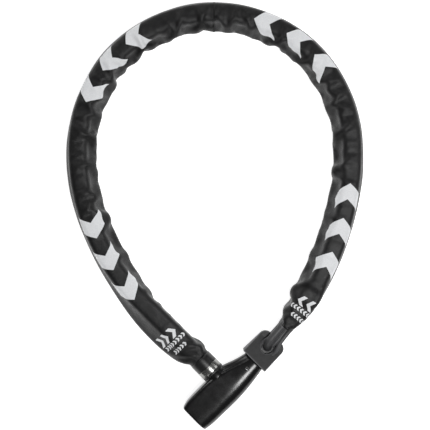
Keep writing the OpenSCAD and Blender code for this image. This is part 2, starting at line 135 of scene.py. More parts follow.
def new_mesh(name, points, faces, smooth=True):
    mesh = bpy.data.meshes.new(name)
    mesh.from_pydata([tuple(map(float, p)) for p in points], [], [tuple(map(int, f)) for f in faces])
    mesh.validate()
    if smooth:
        mesh.shade_smooth()
    else:
        mesh.shade_flat()
    obj = bpy.data.objects.new(name, mesh)
    bpy.context.scene.collection.objects.link(obj)
    return obj


def tube_faces(rings, around):
    """Quads of a tube whose points run round each ring in turn."""
    return [(i * around + j, (i + 1) * around + j, (i + 1) * around + (j + 1) % around,
             i * around + (j + 1) % around) for i in range(rings - 1) for j in range(around)]


def apply_modifiers(obj):
    """Replaces the object's mesh by what its modifiers make of it."""
    bpy.context.view_layer.update()
    made = bpy.data.meshes.new_from_object(obj.evaluated_get(bpy.context.evaluated_depsgraph_get()))
    obj.modifiers.clear()
    obj.data = made
    made.name = obj.name


# ---- the sleeve ----

AROUND = 32                 # points of the cloth round each ring
RING_STEP = 3.4 * MM        # about the distance from ring to ring
SWEEPS = 900                # rounds of settling
KEPT_SPEED = 0.9            # share of its speed that a point keeps from round to round
FALL = 0.004 * MM           # what gravity adds to a free point's speed in a round
SIDEWAYS = 0.0026 * MM      # the same for the push outwards near the plug
GIRTH = 109 * MM            # once round the flat sleeve
FABRIC = 0.9 * MM           # thickness of the cloth
TAUT_LINE = 11 * MM         # how far outside the chain's line the cloth is just taut
GROUND_GAP = 0.6 * MM       # height at which the cloth's points lie on the ground
BAR = 4.0 * MM              # radius of a link's bar
CLEARANCE = 0.6 * MM        # kept between the chain and the cloth's points, beyond the cloth's thickness
MOUTH_PINCH = 0.45 * MM     # how much less of it there is at the mouth
LINK_LINE = 9.0 * MM        # from the middle of a link to the middle of its bars
END_LINK_LINE = 10.5 * MM
LINK_REACH = 22 * MM        # how far along the sleeve a link is felt, each way
END_LINK_REACH = 36 * MM
MOUTH_LENGTH = 0.030        # over which the sleeve widens from its mouth
FOLD_SEED = 3               # which set of waves starts the folds
WAVES = 40                  # how many waves
WAVE_HEIGHT = 0.2 * MM      # the most that one of them moves a point along each axis

# Ties between points of the cloth: rings apart, places apart, and the shares of a stretch and of a squeeze
# that one round takes back.
TIES = ((1, 0, 1.0, 0.8), (0, 1, 1.0, 0.8), (1, 1, 0.25, 0.1), (1, -1, 0.25, 0.1), (2, 0, 0.0, 0.12),
        (0, 2, 0.0, 0.06))

# Half widths and half heights before settling, in millimetres: at the mouth, along the loop, in the bulge
# above the plug and at the plug's neck.
MOUTH_W, LOOP_W, BULGE_W, NECK_W = 9.8, 20.0, 21.5, 13.4
MOUTH_H, LOOP_H = 14.9, 13.4
HANG = 5.5                  # how far its middle lies inside the chain's line, or outside it in the bulge
SAG = 1.2                   # how far it lies below the chain's middle


def sleeve_section(s):
    """Offset outwards, half width, half height and height of the middle of the sleeve at distance s."""
    end = route.length
    narrow = 1 - smooth_step(s, 0.0, MOUTH_LENGTH)
    bulge = smooth_step(s, end - 0.100, end - 0.050)
    pinch = smooth_step(s, end - 0.024, end - 0.002)
    offset = -HANG * (1 - narrow) * (1 - bulge) + HANG * bulge * (1 - pinch)
    half_w = LOOP_W + (MOUTH_W - LOOP_W) * narrow + (BULGE_W - LOOP_W) * bulge + (NECK_W - BULGE_W) * pinch
    half_h = LOOP_H + (MOUTH_H - LOOP_H) * narrow
    height = 1000 * chain_z - SAG * (1 - narrow) * (1 - pinch)
    return offset * MM, half_w * MM, half_h * MM, height * MM


def sleeve_points(rings):
    """Rings of points round the route. The angle runs from the underside over the outside to the top."""
    s = np.linspace(0, route.length, rings)
    at, way = route.place(s)
    out = np.stack([way[:, 1], -way[:, 0]], axis=-1)
    offset, half_w, half_h, height = sleeve_section(s)
    angle = np.arange(AROUND) / AROUND * 2 * math.pi - math.pi / 2
    across = offset[:, None] + half_w[:, None] * np.cos(angle)
    up = height[:, None] + half_h[:, None] * np.sin(angle)
    plan = at[:, None, :] + across[:, :, None] * out[:, None, :]
    return np.concatenate([plan, up[:, :, None]], axis=-1), s


def pairs(rings, around, di, dj):
    """Pairs of grid points di rings and dj places apart, in two classes where no point comes twice."""
    i, j = np.meshgrid(np.arange(rings - di), np.arange(around), indexing="ij")
    odd = (i // di if di else j // dj) % 2
    a = i * around + j
    b = (i + di) * around + (j + dj) % around
    return [(a[odd == k], b[odd == k], i[odd == k]) for k in (0, 1)]


def settled(points):
    """The sleeve as cloth: as long all round as the outside of the bend needs, so that the inside
    crumples. Falls on the chain and the ground. Returns the points at rest."""
    rings, around = points.shape[:2]
    s = np.linspace(0, route.length, rings)
    at, way = route.place(s)
    out = np.stack([way[:, 1], -way[:, 0], 0 * s], axis=-1)
    turn = np.gradient(np.unwrap(np.arctan2(way[:, 1], way[:, 0])), s)
    long_side = route.length / (rings - 1) * (1 + turn * TAUT_LINE)
    round_side = np.full(rings, GIRTH / around)
    taper = 1 - smooth_step(s, 0.0, MOUTH_LENGTH)
    drawn = np.linalg.norm(np.diff(points, axis=1, append=points[:, :1]), axis=2).mean(axis=1)
    round_side = round_side * (1 - taper) + drawn * taper
    ties = []
    for di, dj, stretch, squeeze in TIES:
        for a, b, ring in pairs(rings, around, di, dj):
            rest = steady(np.hypot(di * long_side[ring], dj * round_side[ring]))
            ties.append((a, b, rest[:, None], stretch, squeeze))
    free = np.ones((rings * around, 1))
    free[:2 * around] = 0
    free[(rings - 2) * around:] = 0
    centre = steady(np.concatenate([at, np.full((rings, 1), chain_z)], axis=1))
    body_w, body_h, body_r = (np.repeat(steady(value), around) for value in chain_body(s))
    lean = steady(SIDEWAYS * smooth_step(s, route.length - 0.13, route.length - 0.07))
    lean = np.repeat(lean, around)[:, None]
    p = steady(points.reshape(-1, 3))
    before = p.copy()
    middle_of = np.repeat(centre, around, axis=0)
    outward = np.repeat(steady(out), around, axis=0)
    for _ in range(SWEEPS):
        speed = (p - before) * KEPT_SPEED
        before = p.copy()
        p += free * speed
        p[:, 2] -= free[:, 0] * FALL
        p += free * lean * outward
        for a, b, rest, stretch, squeeze in ties:
            way_ab = p[b] - p[a]
            length = np.linalg.norm(way_ab, axis=1)[:, None] + 1e-9
            excess = length - rest
            share = np.where(excess > 0, stretch, squeeze) * excess / length
            weight = free[a] + free[b] + 1e-9
            p[a] += way_ab * share * free[a] / weight
            p[b] -= way_ab * share * free[b] / weight
        away = p - middle_of
        across = (away * outward).sum(axis=1)
        over_w, over_h = np.abs(across) - body_w, np.abs(away[:, 2]) - body_h
        corner = np.sqrt(np.maximum(over_w, 0) ** 2 + np.maximum(over_h, 0) ** 2) + 1e-9
        depth = np.maximum(body_r - corner - np.minimum(np.maximum(over_w, over_h), 0), 0) * free[:, 0]
        both = (over_w > 0) & (over_h > 0)
        share_w = np.where(both, over_w / corner, over_w > over_h) * np.sign(across)
        share_h = np.where(both, over_h / corner, over_w <= over_h) * np.sign(away[:, 2])
        p += (depth * share_w)[:, None] * outward + (depth * share_h)[:, None] * np.array([0, 0, 1])
        p[:, 2] = np.maximum(p[:, 2], GROUND_GAP)
    return p.reshape(points.shape)


def chain_body(s):
    """The chain as the cloth feels it, a rounded box: half width and half height between the middles of
    the bars, and the radius round them."""
    wide = np.zeros(len(s))
    high = np.zeros(len(s))
    for name in LINKS:
        low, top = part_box(name)
        line, reach = (END_LINK_LINE, END_LINK_REACH) if name == "end_link" else (LINK_LINE, LINK_REACH)
        rise = (top[2] - low[2]) / 2 - BAR
        near = np.abs(s - route.nearest(middle(name))) < reach
        high = np.where(near, np.maximum(high, rise), high)
        wide = np.where(near, np.maximum(wide, math.sqrt(line ** 2 - rise ** 2)), wide)
    last = s > route.length - LINK_REACH
    high, wide = (np.where(last, LINK_LINE * math.sqrt(0.5), value) for value in (high, wide))
    mouth = 1 - smooth_step(s, 0.010, MOUTH_LENGTH)
    return wide, high, BAR + FABRIC + CLEARANCE - MOUTH_PINCH * mouth


def crumpled(points):
    """The points moved about a little by a mix of waves, which decides where the cloth folds."""
    rings, around = points.shape[:2]
    along = np.arange(rings)[:, None] * RING_STEP
    angle = np.arange(around)[None, :] / around * 2 * math.pi
    draw = np.random.default_rng(FOLD_SEED)
    moved = points.copy()
    for _ in range(WAVES):
        phase = 2 * math.pi * (along / draw.uniform(0.018, 0.060) + draw.uniform(0, 1))
        wave = np.sin(phase + angle * draw.integers(-5, 6))
        push = draw.uniform(-1, 1, 3) * WAVE_HEIGHT
        moved[3:-3] += wave[3:-3, :, None] * push
    return moved


def sleeve_piece(name, points, s, node_names):
    """One stretch of the sleeve as two layers of fabric."""
    rings, around = points.shape[:2]
    obj = new_mesh(name, points.reshape(-1, 3), tube_faces(rings, around))
    layer = obj.data.uv_layers.new(name="along_round")
    for polygon in obj.data.polygons:
        wraps = any(v % around == around - 1 for v in polygon.vertices)
        for loop, vertex in zip(polygon.loop_indices, polygon.vertices):
            place = vertex % around
            place = around if wraps and place == 0 else place
            layer.data[loop].uv = (s[vertex // around], place / around * GIRTH)
    solid = obj.modifiers.new("two_layers", "SOLIDIFY")
    solid.thickness = FABRIC
    solid.offset = -1
    solid.edge_crease_rim = 1
    solid.edge_crease_outer = 1
    solid.edge_crease_inner = 1
    finer = obj.modifiers.new("finer", "SUBSURF")
    finer.levels = finer.render_levels = 1
    finer.boundary_smooth = "PRESERVE_CORNERS"
    apply_modifiers(obj)
    obj.data.materials.append(fabric)
    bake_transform(obj)
    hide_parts(*node_names)


ABOVE_THE_LOOP = (0.012, 1.0)   # the two stretches of the sleeve part at the place nearest to this


def make_sleeve():
    """The whole sleeve, settled in one go and then parted in two where the loop is highest."""
    rings = int(route.length / RING_STEP)
    points, s = sleeve_points(rings)
    points = crumpled(points)
    points = settled(points)
    joints = {joint["name"]: joint for joint in frame["joints"]}
    pivot = Vector(joints["chain_bend"]["pos_m"])
    _, way = route.place(np.array([route.nearest(pivot), route.length]))
    cut = int(np.searchsorted(s, route.nearest(ABOVE_THE_LOOP)))
    sleeve_piece("sleeve_eye_side", points[:cut + 1], s[:cut + 1], ["sleeve_right"])
    sleeve_piece("sleeve_plug_side", points[cut:], s[cut:], ["sleeve_left", "sleeve_plug_end"])


# ---- materials ----

class Paint:
    """A node material under construction: Principled shader, object-space coordinates and bump."""

    def __init__(self, name, color, roughness, metallic=0.0, **inputs):
        self.material = bpy.data.materials.new(name)
        self.material.use_nodes = True
        self.tree = self.material.node_tree
        self.shader = self.tree.nodes["Principled BSDF"]
        self.shader.inputs["Base Color"].default_value = (*color, 1)
        self.shader.inputs["Roughness"].default_value = roughness
        self.shader.inputs["Metallic"].default_value = metallic
        for key, value in inputs.items():
            self.shader.inputs[key.replace("_", " ")].default_value = value
        self.coordinates = self.node("ShaderNodeTexCoord")
        self.place = self.coordinates.outputs["Object"]
        self.height = None

    def node(self, kind, *sources, **settings):
        """A node whose first inputs are sources: sockets are linked, numbers are set."""
        made = self.tree.nodes.new(kind)
        for key, value in settings.items():
            if key in made.inputs:
                made.inputs[key].default_value = value
            else:
                setattr(made, key, value)
        for slot, source in zip(made.inputs, sources):
            if isinstance(source, bpy.types.NodeSocket):
                self.tree.links.new(source, slot)
            elif source is not None:
                slot.default_value = source
        return made

    def math(self, operation, *sources):
        return self.node("ShaderNodeMath", *sources, operation=operation).outputs[0]

    def noise(self, scale, detail=3.0):
        """Noise between about 0 and 1. A scale of 1000 is a millimetre."""
        made = self.node("ShaderNodeTexNoise", Scale=scale, Detail=detail)
        self.tree.links.new(self.place, made.inputs["Vector"])
        return made.outputs["Fac"]

    def between(self, factor, low, high, from_min=0.3, from_max=0.7):
        """The factor's range, spread from low to high."""
        made = self.node("ShaderNodeMapRange", factor, from_min, from_max, low, high)
        return made.outputs[0]

    def mix(self, factor, a, b):
        made = self.node("ShaderNodeMix", data_type="RGBA")
        for index, source in ((0, factor), (6, a), (7, b)):
            if isinstance(source, bpy.types.NodeSocket):
                self.tree.links.new(source, made.inputs[index])
            else:
                made.inputs[index].default_value = (*source, 1) if index else source
        return made.outputs[2]

    def bump(self, height, distance):
        """Adds a layer of bump, distance metres high."""
        made = self.node("ShaderNodeBump", Strength=1.0, Distance=distance)
        self.tree.links.new(height, made.inputs["Height"])
        if self.height is not None:
            self.tree.links.new(self.height, made.inputs["Normal"])
        self.height = made.outputs[0]
        self.tree.links.new(self.height, self.shader.inputs["Normal"])

    def feed(self, name, source):
        self.tree.links.new(source, self.shader.inputs[name])


def moulded(name, dark, light, rough, grain, grain_height, painted_edge_highlight=None, **inputs):
    """Moulded plastic or rubber: slight cloudiness in colour and gloss, a fine grain, and, if asked, convex
    edges painted a lighter tone as a painted highlight."""
    paint = Paint(name, dark, rough[0], **inputs)
    tone = paint.mix(paint.between(paint.noise(90), 0, 1), dark, light)
    if painted_edge_highlight:
        # Convex edges, found by pointiness, painted lighter: a painted highlight along the rounded edges.
        edge = paint.node("ShaderNodeNewGeometry").outputs["Pointiness"]
        tone = paint.mix(paint.between(edge, 0, 1, 0.505, 0.53), tone, painted_edge_highlight)
    paint.feed("Base Color", tone)
    paint.feed("Roughness", paint.between(paint.noise(140, 4), rough[0], rough[1]))
    paint.bump(paint.noise(grain, 2), grain_height)
    return paint


def metal(name, dark, light, rough, scratch):
    """Metal with a mottled tone and a cloudy gloss."""
    paint = Paint(name, light, rough[0], metallic=1.0)
    lines = paint.noise(scratch, 4)
    paint.feed("Base Color", paint.mix(paint.between(lines, 0, 1), dark, light))
    paint.feed("Roughness", paint.between(paint.noise(scratch * 0.6, 3), rough[0], rough[1]))
    paint.bump(lines, 0.02 * MM)
    return paint


def brushed_ring():
    """Turned steel: fine lines round the plug's axis."""
    dark = (0.20, 0.20, 0.193)
    light = (0.34, 0.34, 0.33)
    paint = Paint("ring_steel", light, 0.28, metallic=1.0)
    along = paint.node("ShaderNodeVectorMath", paint.place, (*plug_way, 0), operation="DOT_PRODUCT")
    lines = paint.node("ShaderNodeTexNoise", noise_dimensions="1D", W=0.0, Scale=3500.0, Detail=4.0)
    paint.tree.links.new(along.outputs["Value"], lines.inputs["W"])
    turned_lines = lines.outputs["Fac"]
    paint.feed("Base Color", paint.mix(paint.between(turned_lines, 0, 1), dark, light))
    paint.feed("Roughness", paint.between(paint.noise(300), 0.24, 0.30))
    paint.bump(turned_lines, 0.012 * MM)
    return paint


CHEVRON_GROUPS = (0.153, 0.402, 0.649, 0.899)   # where each group's middle lies along the sleeve
CHEVRON_PITCH = 42 * MM
CHEVRON_SHARE = 0.46                            # printed share of each pitch
CHEVRON_BEND = 0.75                             # how far a chevron's arms lean back
PRINT_W = 17.5 * MM                             # half width of the print
PRINT_LINE = 0.48 * GIRTH                       # its middle, round the sleeve from the underside
WEAVE = 0.8 * MM                                # from thread to thread
SMALL_BLOCKS = (0.029, 1.010)                   # where the blocks of small chevrons lie

# Rows of such a block, in millimetres: middle and half length along the sleeve, pitch and printed share of
# it round the sleeve, half width.
SMALL_ROWS = ((11.0, 6.8, 12.0, 0.42, 17.5), (0.0, 2.6, 4.6, 0.54, 18.4), (-9.5, 2.6, 4.6, 0.54, 11.5))


def fabric_paint():
    """Black woven nylon with generic pale chevrons printed on it. The mesh's UVs are metres along the
    sleeve and metres round it, from the underside over the outside to the top."""
    paint = Paint("black_nylon", (0.010, 0.010, 0.010), 0.45, Sheen_Weight=0.04, Sheen_Roughness=0.5,
                  Specular_IOR_Level=0.35)
    uv = paint.node("ShaderNodeSeparateXYZ", paint.coordinates.outputs["UV"])
    along, around = uv.outputs[0], uv.outputs[1]
    printed = None

    def add(mask):
        nonlocal printed
        printed = mask if printed is None else paint.math("MAXIMUM", printed, mask)

    def band(value, centre, half):
        return paint.math("COMPARE", value, centre, half)

    def stripes(value, pitch, share):
        return paint.math("LESS_THAN", paint.math("FRACT", paint.math("DIVIDE", value, pitch)), share)

    across = paint.math("SUBTRACT", around, PRINT_LINE)
    bent = paint.math("MULTIPLY", paint.math("ABSOLUTE", across), CHEVRON_BEND)
    half_group = 1.5 * CHEVRON_PITCH
    for place in CHEVRON_GROUPS:
        shifted = paint.math("ADD", paint.math("SUBTRACT", along, place), bent)
        row = paint.math("MULTIPLY", band(shifted, 0.0, half_group), band(across, 0.0, PRINT_W))
        bars = stripes(paint.math("ADD", shifted, half_group), CHEVRON_PITCH, CHEVRON_SHARE)
        add(paint.math("MULTIPLY", row, bars))
    for place, way in zip(SMALL_BLOCKS, (1, -1)):
        local = paint.math("MULTIPLY", paint.math("SUBTRACT", along, place), float(way))
        for centre, half, pitch, share, width in SMALL_ROWS:
            from_middle = paint.math("ABSOLUTE", paint.math("SUBTRACT", local, centre * MM))
            pointed = paint.math("ADD", across, paint.math("MULTIPLY", from_middle, CHEVRON_BEND))
            row = paint.math("MULTIPLY", band(local, centre * MM, half * MM),
                             band(pointed, 0.0, width * MM))
            bars = stripes(paint.math("ADD", pointed, width * MM), pitch * MM, share)
            add(paint.math("MULTIPLY", row, bars))

    threads = 2 * math.pi / WEAVE
    warp = paint.math("SINE", paint.math("MULTIPLY", along, threads))
    weft = paint.math("SINE", paint.math("MULTIPLY", around, threads))
    weave = paint.math("MULTIPLY", warp, weft)
    cloud = paint.between(paint.noise(45), 0, 1)
    black = paint.mix(cloud, (0.0022, 0.0022, 0.0026), (0.0050, 0.0050, 0.0052))
    white = paint.mix(paint.between(paint.noise(700, 2), 0, 1), (0.80, 0.81, 0.82), (0.72, 0.73, 0.75))
    paint.feed("Base Color", paint.mix(printed, black, white))
    paint.feed("Roughness", paint.between(paint.noise(160), 0.36, 0.48))
    paint.bump(weave, 0.03 * MM)
    paint.bump(paint.noise(75, 3), 0.6 * MM)
    paint.bump(paint.noise(30, 2), 1.8 * MM)
    return paint


# ---- the moulded parts ----

head_way = unit(middle("cross_pin")[:2] - middle("key_bezel")[:2])


def head_point(u, v, w):
    """A point of the head: u along it from the key end, v towards the plug, w up from mid-thickness."""
    plan = KEY_AT[:, None] + head_way[:, None] * np.ravel(u) + plug_way[:, None] * np.ravel(v)
    return np.stack([plan[0], plan[1], np.ravel(w) + chain_z], axis=-1)


def head_place(node):
    """Middle of a CAD node in the head's own axes."""
    away = middle(node)[:2] - KEY_AT
    return float(away @ head_way), float(away @ plug_way)


HEAD_LENGTH = 99.3 * MM
PLUG_U = 55 * MM
KEY_AT = middle("plug_ring")[:2] - plug_way * 30.1 * MM - head_way * PLUG_U
EYE_U = 122.5 * MM
PIN_U = head_place("cross_pin")[0]
CYLINDER_V = head_place("rotor")[1]


def curve_through(table, u):
    """Smooth values of a shape that is stated at a few places."""
    table = np.array(table, float) * MM
    return natural_spline(table[:, 0], table[:, 1:], np.asarray(u, float))[:, 0]


# The jacket's outline, in millimetres along the head and across it.
CREST = ((-8, 17.7), (0, 18.8), (6, 20.4), (20, 21.8), (45, 22.0), (58, 20.2), (72, 16.6), (86, 12.2),
         (101, 8.4))
SKIRT = ((-8, 12), (0, 14), (40, 21.5), (56, 23.0), (67, 22.9), (76, 20.2), (86, 16.9), (101, 13.5))
TOP_LINE = ((-8, -6.8), (7, -6.4), (50, -5.2), (95, -2.6), (101, -2.4))
ROOF_SLOPE = ((-8, 0.09), (50, 0.11), (75, 0.18), (101, 0.30))
BELLY = ((-8, 18.2), (0, 18.6), (6, 19.4), (25, 20.0), (50, 19.9), (75, 17.8), (101, 13.4))
THICKNESS = ((-8, 14.4), (0, 14.6), (30, 14.9), (66, 14.6), (85, 13.0), (101, 11.7))


def oval(v, w, low, high, half, power):
    """Rough distance outside a rounded box from low to high across, and half thick."""
    a = (high - low) / 2
    x = np.abs(v - (high + low) / 2) / a
    y = np.abs(w) / half
    return ((x ** power + y ** power) ** (1 / power) - 1) * np.minimum(a, half)


def joined(a, b, blend):
    """Smooth union of two distances."""
    h = np.clip(0.5 + (b - a) / blend / 2, 0, 1)
    return b + (a - b) * h - blend * h * (1 - h)


def jacket_field(u, v, w):
    """Distance outside the jacket: a domed body and a lower skirt beyond its crest."""
    u_flat = u.ravel()
    shape = u.shape
    tables = (CREST, SKIRT, BELLY, THICKNESS, TOP_LINE, ROOF_SLOPE)
    crest, skirt, belly, half, top, slope = (curve_through(t, u_flat).reshape(shape) for t in tables)
    past = np.maximum(v - top, 0)
    roof = np.abs(w) - half + slope / MM * (np.hypot(past, 4 * MM) - 4 * MM)
    roof = -joined(-roof, crest - v, 5 * MM)
    reach = top + belly
    back = ((np.maximum(top - v, 0) / reach) ** 2.3 + (np.abs(w) / half) ** 2.3) ** (1 / 2.3) - 1
    body = np.where(v > top, roof, back * half)
    low = oval(v, w, -belly * 0.6, skirt, half * 0.7, 2.7)
    return joined(body, low, 1.6 * MM)


def ring_of_points(u, inset, around, field, centre_v):
    """Points round the head at u where the field is -inset, found along rays by halving."""
    angle = np.arange(around) / around * 2 * math.pi
    low = np.zeros((len(u), around))
    high = np.full((len(u), around), 40 * MM)
    for _ in range(40):
        radius = (low + high) / 2
        value = field(np.repeat(u[:, None], around, 1), centre_v[:, None] + radius * np.cos(angle),
                      radius * np.sin(angle)) + inset[:, None]
        low, high = np.where(value < 0, radius, low), np.where(value < 0, high, radius)
    v = centre_v[:, None] + low * np.cos(angle)
    return head_point(np.repeat(u, around), v, low * np.sin(angle))


def make_jacket():
    """Glossy shell, outside and inside in one closed mesh, with the plug's boss, the socket's mouth and the
    cross pin's holes."""
    around = 144
    length = HEAD_LENGTH / MM
    outside = [(0.0, 1.5), (0.12, 0.9), (0.45, 0.42), (1.0, 0.12), (1.8, 0.0)]
    outside += [(u, 0.0) for u in np.arange(2.8, length - 2, 1.1)]
    outside += [(length - 0.8, 0.03), (length - 0.3, 0.2), (length - 0.05, 0.5), (length, 0.8)]
    inside = [(length, 2.2)]
    inside += [(u, 1.6) for u in np.arange(length - 1, 3.5, -3.0)]
    inside += [(0.6, 1.6), (0.1, 2.1)]
    stations = np.array(outside + inside) * MM
    centre = np.interp(stations[:, 0], [0, 50 * MM, HEAD_LENGTH], [2 * MM, 3 * MM, 0])
    points = ring_of_points(stations[:, 0], stations[:, 1], around, jacket_field, centre)
    rings = len(stations)
    faces = tube_faces(rings, around)
    last = (rings - 1) * around
    faces += [(last + j, j, (j + 1) % around, last + (j + 1) % around) for j in range(around)]
    obj = new_mesh("jacket_shell", points, faces)
    turn_outwards(obj)
    boss = [(0, 16.7), (13.7, 16.7), (13.7, 22.5), (13.55, 22.85), (13.2, 23.0), (0, 23.0)]
    carve(obj, lathe("plug_boss", boss, 96), "UNION")
    socket = [(0, 14), (10.3, 14), (10.3, 22.2), (11.0, 23.4), (11.0, 30), (0, 30)]
    pin_hole = [(0, 5), (2.3, 5), (2.3, 12.4), (3.3, 13.6), (3.3, 20), (0, 20)]
    cutters = [lathe("socket_cut", socket, 64)]
    for side in (1, -1):
        cutters.append(upright("pin_cut", pin_hole, PIN_U, side))
    for cutter in cutters:
        carve(obj, cutter)
    smooth_by_angle(obj, 35)
    finish_piece(obj, "root", "jacket_gloss", gloss_black, "jacket")


KEYHOLE = (8 * MM, 3.0 * MM, 9.2 * MM)   # depth of the cutter, width and height


def make_face_plate():
    """Plate of the key end, inside the jacket's rim, with a rounded edge and a keyhole."""
    around = 96
    edge = np.array([(3.4, 2.5), (1.4, 2.5), (1.0, 2.7), (0.8, 3.2)]) * MM
    points = ring_of_points(edge[:, 0], edge[:, 1], around, jacket_field, np.full(4, 2 * MM))
    faces = tube_faces(4, around)
    faces += [tuple(range(around)), tuple(range(4 * around - 1, 3 * around - 1, -1))]
    plate = new_mesh("face_plate", points, faces, smooth=False)
    turn_outwards(plate)
    work = bmesh.new()
    bmesh.ops.create_cube(work, size=1)
    cutter_mesh = bpy.data.meshes.new("keyhole")
    work.to_mesh(cutter_mesh)
    work.free()
    cutter = bpy.data.objects.new("keyhole", cutter_mesh)
    bpy.context.scene.collection.objects.link(cutter)
    cutter.matrix_world = (Matrix.Translation(Vector(head_point(2 * MM, CYLINDER_V, 0)[0]))
                           @ Matrix.Rotation(math.atan2(head_way[1], head_way[0]), 4, "Z")
                           @ Matrix.Diagonal((*KEYHOLE, 1)))
    carve(plate, cutter)
    smooth_by_angle(plate, 30)
    finish_piece(plate, "root", "face_plastic", face_plastic, "key_bezel")


def carve(obj, cutter, operation="DIFFERENCE"):
    """Cuts one closed mesh out of another, or melts it in."""
    cut = obj.modifiers.new("cut", "BOOLEAN")
    cut.operation = operation
    cut.solver = "EXACT"
    cut.object = cutter
    apply_modifiers(obj)
    bpy.data.objects.remove(cutter)


def turn_outwards(obj):
    """Makes all of a closed mesh's faces look outwards."""
    work = bmesh.new()
    work.from_mesh(obj.data)
    bmesh.ops.recalc_face_normals(work, faces=work.faces)
    work.to_mesh(obj.data)
    work.free()


def smooth_by_angle(obj, degrees):
    """Smooth shading, with edges steeper than an angle kept sharp."""
    obj.data.shade_smooth()
    obj.data.set_sharp_from_angle(angle=math.radians(degrees))


def turned(name, profile, steps, origin, axis, side, other):
    """Surface of revolution from (radius, height) pairs in millimetres, closed if the profile is."""
    points, faces = [], []
    count = len(profile)
    for i in range(steps):
        angle = 2 * math.pi * i / steps
        for radius, height in profile:
            points.append(origin + axis * height * MM
                          + (side * math.cos(angle) + other * math.sin(angle)) * radius * MM)
        for k in range(count):
            n = (k + 1) % count
            after = (i + 1) % steps * count
            faces.append((i * count + k, i * count + n, after + n, after + k))
    obj = new_mesh(name, points, faces)
    work = bmesh.new()
    work.from_mesh(obj.data)
    bmesh.ops.remove_doubles(work, verts=work.verts, dist=1e-6)
    bmesh.ops.dissolve_degenerate(work, edges=work.edges, dist=1e-7)
    bmesh.ops.recalc_face_normals(work, faces=work.faces)
    work.to_mesh(obj.data)
    work.free()
    return obj


def lathe(name, profile, steps):
    """Turned piece about the plug's axis: heights count from the head's axis."""
    origin = head_point(PLUG_U, 0, 0)[0]
    way = np.array([*plug_way, 0])
    return turned(name, profile, steps, origin, way, np.array([*head_way, 0]), np.array([0, 0, 1]))


def upright(name, profile, u, side):
    """Turned piece about an upright axis through the head, at u."""
    return turned(name, profile, 40, head_point(u, 0, 0)[0], np.array([0, 0, side]),
                  np.array([*head_way, 0]), np.array([*plug_way, 0]))


def finish_piece(obj, body, slot, paint, *nodes):
    """Gives a piece its material, the body it rides on and the CAD nodes it replaces."""
    obj.data.materials.clear()
    obj.data.materials.append(paint)
    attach(obj, body)
    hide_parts(*nodes)


def rounded_profile(inner, outer, low, high, edge):
    """Section of a ring with its outer edges rounded, in millimetres."""
    def corner(r, h, start):
        turns = [math.radians(start + 90 * k / 5) for k in range(6)]
        return [(r + edge * math.cos(t), h + edge * math.sin(t)) for t in turns]
    return ([(inner, low)] + corner(outer - edge, low + edge, -90) + corner(outer - edge, high - edge, 0)
            + [(inner, high)])


def make_plug():
    """Rubber seal, steel ring, collar and the cuff that ties the sleeve on."""
    seal = lathe("seal_ring", rounded_profile(6.4, 14.2, 23.05, 26.0, 0.6), 96)
    finish_piece(seal, "plug", "seal_rubber", rubber, "plug_seal")
    ring = lathe("steel_ring", rounded_profile(6.4, 14.3, 26.0, 34.2, 0.35), 128)
    finish_piece(ring, "plug", "ring_steel", ring_steel, "plug_ring")
    profile = [(6.4, 34.2), (13.8, 34.2), (14.1, 34.5), (14.1, 36.0), (14.0, 45.2), (13.8, 46.4),
               (13.3, 47.2), (12.4, 47.6), (11.0, 47.7), (11.0, 50.5), (6.4, 50.5)]
    collar = lathe("collar", profile, 96)
    finish_piece(collar, "plug", "collar_plastic", satin_black, "plug_collar")
    cuff = lathe("cuff", rounded_profile(11.0, 12.1, 46.8, 49.8, 0.4), 96)
    finish_piece(cuff, "plug", "collar_plastic", satin_black, "plug_cuff")
    for obj in (seal, ring, collar, cuff):
        smooth_by_angle(obj, 40)


def melted(name, meshes, voxel, rounds):
    """One soft-edged skin over several closed meshes: remeshed in small cells, then smoothed."""
    work = bmesh.new()
    for mesh in meshes:
        work.from_mesh(mesh)
    made = bpy.data.meshes.new(name)
    work.to_mesh(made)
    work.free()
    obj = bpy.data.objects.new(name, made)
    bpy.context.scene.collection.objects.link(obj)
    cells = obj.modifiers.new("cells", "REMESH")
    cells.mode = "VOXEL"
    cells.voxel_size = voxel
    soft = obj.modifiers.new("soft", "SMOOTH")
    soft.factor = 0.5
    soft.iterations = rounds
    apply_modifiers(obj)
    obj.data.shade_smooth()
    return obj


# Ribs and web of the end link's cover, each a line and a radius: millimetres from the eye along the link,
# outwards and up. The last one fills the cover out round the bar in the eye.
COVER_RIBS = (
    (((37, -6.4, 10.6), (18, -6.5, 10.8), (11, -7.1, 10.0), (5, -8.6, 7.6), (-1, -9.5, 5.2),
      (-6, -8.4, 4.0)), 2.5),
    (((37, 6.2, 7.4), (18, 6.5, 7.6), (11, 7.2, 7.4), (5, 8.7, 6.4), (-1, 9.5, 4.9),
      (-6, 8.4, 4.0)), 2.6),
    (((37, -2.0, 7.0), (17, -2.0, 7.0), (12, -2.0, 7.2), (7, -1.5, 6.2), (4, -1.0, 4.0)), 2.7),
    (((37, 2.5, 6.2), (17, 2.5, 6.4), (12, 2.5, 7.0), (7, 2.0, 6.2), (4, 1.0, 4.0)), 2.7),
    (((37, 0.0, 0.0), (30, 0.0, 0.0), (24, 0.0, 0.0), (18, 0.0, 0.0)), 5.2),
    (((-1.6, 0.0, 1.2), (-1.6, 0.0, 0.0), (-1.6, 0.0, -1.0), (-1.6, 0.0, -1.6)), 8.8),
)


def eye_point(along, outwards, up):
    """A point by the end link, in millimetres from the bar in the eye."""
    eye = KEY_AT + head_way * (EYE_U + 0.5 * MM)
    way = unit(middle("end_link")[:2] - eye)
    plan = eye + way * along * MM + np.array([way[1], -way[0]]) * outwards * MM
    return np.array([*plan, chain_z + up * MM])


